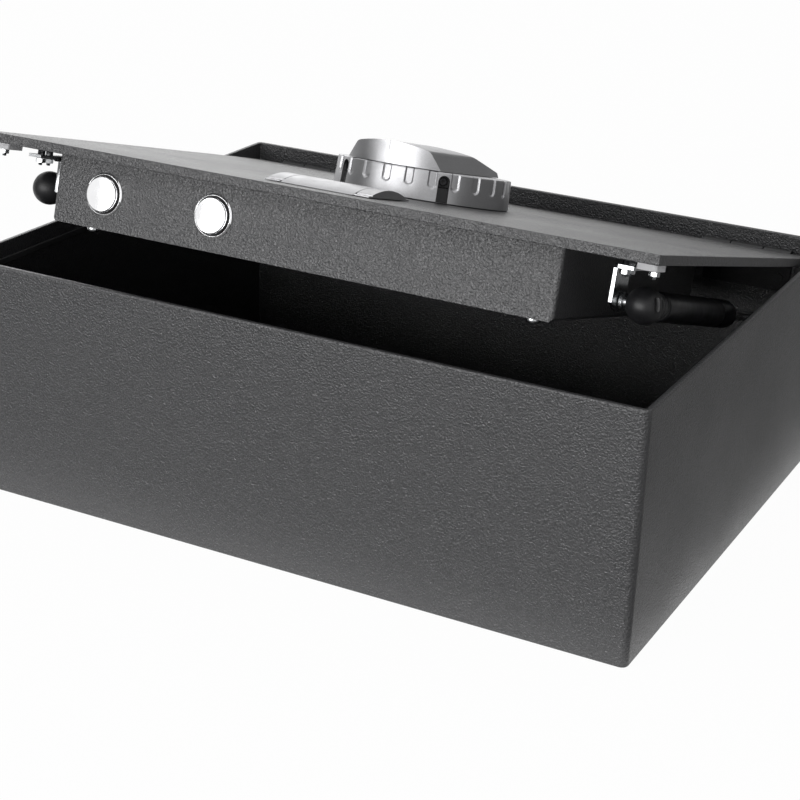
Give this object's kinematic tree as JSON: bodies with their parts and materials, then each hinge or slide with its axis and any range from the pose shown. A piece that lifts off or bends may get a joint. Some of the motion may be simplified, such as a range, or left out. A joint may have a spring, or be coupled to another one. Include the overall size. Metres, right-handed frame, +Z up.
{
  "type": "biometric safe",
  "caption": "Low steel box safe with a hinged lid on gas struts, a round fingerprint lock on top, motor-driven locking bolts and a backup key lock under a small arched cover.",
  "frame": {"origin": "centre of the case's footprint, at the face it stands on", "axes": "+X to the right along the lid hinge, +Y to the rear where the hinge is, +Z up; the front wall faces -Y"},
  "size_m": [0.4, 0.308, 0.2041],
  "materials": {
    "coat": "fine textured powder coat, charcoal, matt",
    "coat_dark": "black powder coat, matt",
    "satin_silver": "satin silver",
    "chrome": "polished",
    "zinc": "bright zinc plate",
    "steel": "ground bright",
    "black_plastic": "moulded, satin",
    "tube_black": "black stoved enamel, satin",
    "rubber": "matt",
    "felt": "short pile",
    "grey_pad": "soft foamed pad",
    "brass": "machined",
    "circuit_board": "green solder resist",
    "scanner_glass": "gloss",
    "blue_lens": "gloss, tinted",
    "red_plastic": "gloss",
    "battery_case": "printed sleeve, plain"
  },
  "bodies": {
    "case": {"case_shell": "coat", "floor_mat": "felt", "keeper_channel": "coat_dark", "edge_strip_left": "rubber", "edge_strip_right": "rubber", "hinge_case_leaf_left": "coat_dark", "hinge_case_leaf_right": "coat_dark", "hinge_pin_left": "zinc", "hinge_pin_right": "zinc", "strut_anchor_left": "zinc", "strut_anchor_right": "zinc"},
    "lid": {"lid_plate": "coat", "lock_housing": "coat", "lock_cover": "coat_dark", "hinge_lid_leaf_left": "coat_dark", "hinge_lid_leaf_right": "coat_dark", "module_base": "satin_silver", "module_hood": "satin_silver", "key_base": "satin_silver", "bolt_collar_left": "chrome", "bolt_collar_right": "chrome", "key_barrel": "chrome", "strut_bracket_left": "zinc", "strut_bracket_right": "zinc", "bracket_nut_left_front": "zinc", "bracket_nut_left_rear": "zinc", "bracket_nut_right_front": "zinc", "bracket_nut_right_rear": "zinc", "pad_nut_left": "zinc", "pad_nut_right": "zinc", "ball_stud_left": "zinc", "ball_stud_right": "zinc", "cover_screw_left": "zinc", "cover_screw_right": "zinc", "gear_motor": "zinc", "module_screw_1": "steel", "module_screw_2": "steel", "module_screw_3": "steel", "module_screw_4": "steel", "battery_holder": "black_plastic", "corner_pad_left": "grey_pad", "corner_pad_right": "grey_pad", "control_board": "circuit_board", "fingerprint_scanner": "scanner_glass", "status_light": "blue_lens", "battery": "battery_case"},
    "bolt_carriage": {"bolt_bar": "steel", "locking_bolt_left": "chrome", "locking_bolt_right": "chrome"},
    "pinion": {"motor_pinion": "brass"},
    "key_plug": {"key_plug": "brass"},
    "key_cover": {"key_cover": "satin_silver"},
    "battery_door": {"battery_door": "black_plastic"},
    "enrol_button": {"enrol_button": "red_plastic"},
    "strut_left": {"strut_socket_left": "black_plastic", "strut_tube_left": "tube_black"},
    "strut_right": {"strut_socket_right": "black_plastic", "strut_tube_right": "tube_black"},
    "strut_rod_left": {"strut_rod_left": "steel"},
    "strut_rod_right": {"strut_rod_right": "steel"}
  },
  "joints": [
    {"name": "lid_hinge", "type": "hinge", "parent": "case", "child": "lid", "pos_m": [0, 0.1465, 0.1219], "axis": [-1, 0, 0], "range_deg": [-15.4, 44.6]},
    {"name": "bolt_throw", "type": "slide", "parent": "lid", "child": "bolt_carriage", "axis": [0, -0.9641, 0.2656], "range_m": [0, 0.0055]},
    {"name": "pinion_spin", "type": "hinge", "parent": "lid", "child": "pinion", "pos_m": [-0.07035, -0.06941, 0.16084], "axis": [0, 0.2656, 0.9641], "range_deg": [-1, 53]},
    {"name": "key_turn", "type": "hinge", "parent": "lid", "child": "key_plug", "pos_m": [0.00175, -0.09442, 0.19054], "axis": [0, 0.2656, 0.9641], "range_deg": [0, 90]},
    {"name": "key_cover_lift", "type": "slide", "parent": "lid", "child": "key_cover", "axis": [0, 0.2656, 0.9641], "range_m": [0, 0.02]},
    {"name": "battery_door_slide", "type": "slide", "parent": "lid", "child": "battery_door", "axis": [0, 0.9641, -0.2656], "range_m": [0, 0.03]},
    {"name": "enrol_press", "type": "slide", "parent": "lid", "child": "enrol_button", "axis": [0, 0.2656, 0.9641], "range_m": [0, 0.0012], "stiffness_N_per_m": 300, "springref_m": -0.001},
    {"name": "strut_swing_left", "type": "hinge", "parent": "lid", "child": "strut_left", "pos_m": [-0.1752, -0.10352, 0.16504], "axis": [-1, 0, 0], "range_deg": [-0.78, 2.08]},
    {"name": "strut_stroke_left", "type": "slide", "parent": "strut_left", "child": "strut_rod_left", "axis": [0, 0.9494, -0.314], "range_m": [-0.01086, 0.03107]},
    {"name": "strut_swing_right", "type": "hinge", "parent": "lid", "child": "strut_right", "pos_m": [0.1752, -0.10352, 0.16504], "axis": [-1, 0, 0], "range_deg": [-0.78, 2.08]},
    {"name": "strut_stroke_right", "type": "slide", "parent": "strut_right", "child": "strut_rod_right", "axis": [0, 0.9494, -0.314], "range_m": [-0.01086, 0.03107]}
  ],
  "couplings": [
    {"joint": "pinion_spin", "follows": "bolt_throw", "rad_per_m": 166.67},
    {"joint": "strut_swing_left", "follows": "lid_hinge", "ratio": 0.04435},
    {"joint": "strut_stroke_left", "follows": "lid_hinge", "m_per_rad": 0.039661},
    {"joint": "strut_swing_right", "follows": "lid_hinge", "ratio": 0.04435},
    {"joint": "strut_stroke_right", "follows": "lid_hinge", "m_per_rad": 0.039661}
  ]
}
